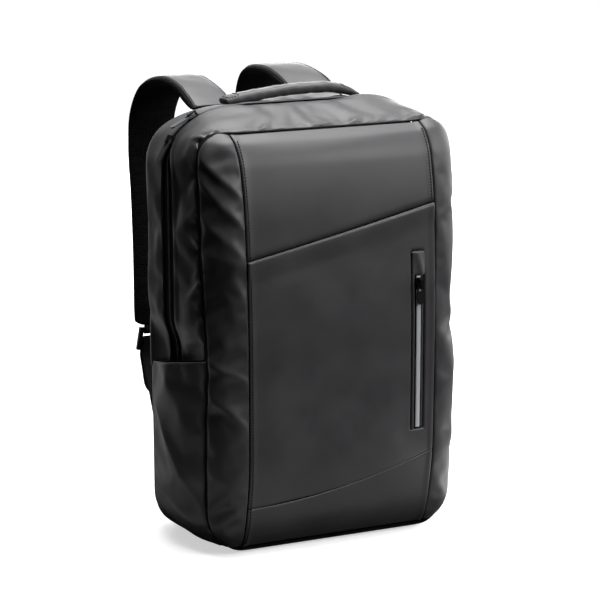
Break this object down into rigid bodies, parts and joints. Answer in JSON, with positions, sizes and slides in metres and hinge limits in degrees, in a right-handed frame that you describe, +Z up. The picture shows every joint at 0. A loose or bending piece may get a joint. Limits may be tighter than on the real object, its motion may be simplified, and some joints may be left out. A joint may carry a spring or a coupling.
{
  "type": "laptop backpack",
  "caption": "Slim upright laptop backpack in coated fabric with padded straps, slanted front seams, side pockets and a front zip pocket with a reflective strip.",
  "frame": {"origin": "on the floor under the middle of the bag's body, where its base rests", "axes": "+Z up, front towards -Y, +X to the right seen from the front"},
  "size_m": [0.3101, 0.3466, 0.4745],
  "materials": {
    "coated_fabric": "satin",
    "spacer_mesh": "matte",
    "zip_tape": "matte",
    "webbing": "matte",
    "moulded_plastic": "satin",
    "slider_metal": "satin",
    "pull_metal": "satin",
    "reflective_film": "satin"
  },
  "bodies": {
    "bag": {"front_upper_panel": "coated_fabric", "front_middle_panel": "coated_fabric", "front_lower_panel": "coated_fabric", "front_side_strip_left": "coated_fabric", "front_side_strip_right": "coated_fabric", "front_gusset": "coated_fabric", "rear_gusset": "coated_fabric", "bottom_gusset": "coated_fabric", "side_pocket_left": "coated_fabric", "side_pocket_right": "coated_fabric", "back_panel": "spacer_mesh", "main_zip_tape": "zip_tape", "main_zip_coil": "moulded_plastic", "main_zip_slider_a": "slider_metal", "main_zip_slider_b": "slider_metal", "pocket_zip_tape": "zip_tape", "pocket_welt": "coated_fabric", "pocket_garage": "coated_fabric", "reflective_strip": "reflective_film", "pocket_slider": "slider_metal", "top_handle": "coated_fabric", "strap_pad_left": "coated_fabric", "strap_pad_right": "coated_fabric", "strap_lining_left": "spacer_mesh", "strap_lining_right": "spacer_mesh", "buckle_tab_left": "webbing", "buckle_tab_right": "webbing", "buckle_left": "moulded_plastic", "buckle_right": "moulded_plastic", "lower_webbing_left": "webbing", "lower_webbing_right": "webbing", "webbing_tail_left": "webbing", "webbing_tail_right": "webbing"},
    "main_pull_a": {"main_zip_pull_a": "pull_metal"},
    "main_pull_b": {"main_zip_pull_b": "pull_metal"},
    "front_pull": {"pocket_pull": "slider_metal"}
  },
  "joints": [
    {"name": "main_pull_a_swing", "type": "hinge", "parent": "bag", "child": "main_pull_a", "pos_m": [-0.14543, 0.016, 0.42174], "axis": [0, 1, 0], "range_deg": [0, 140]},
    {"name": "main_pull_b_swing", "type": "hinge", "parent": "bag", "child": "main_pull_b", "pos_m": [-0.1189, 0.016, 0.44597], "axis": [0, 1, 0], "range_deg": [0, 165]},
    {"name": "front_pull_swing", "type": "hinge", "parent": "bag", "child": "front_pull", "pos_m": [0.0887, -0.09429, 0.27], "axis": [-1, 0, 0], "range_deg": [0, 165]}
  ]
}
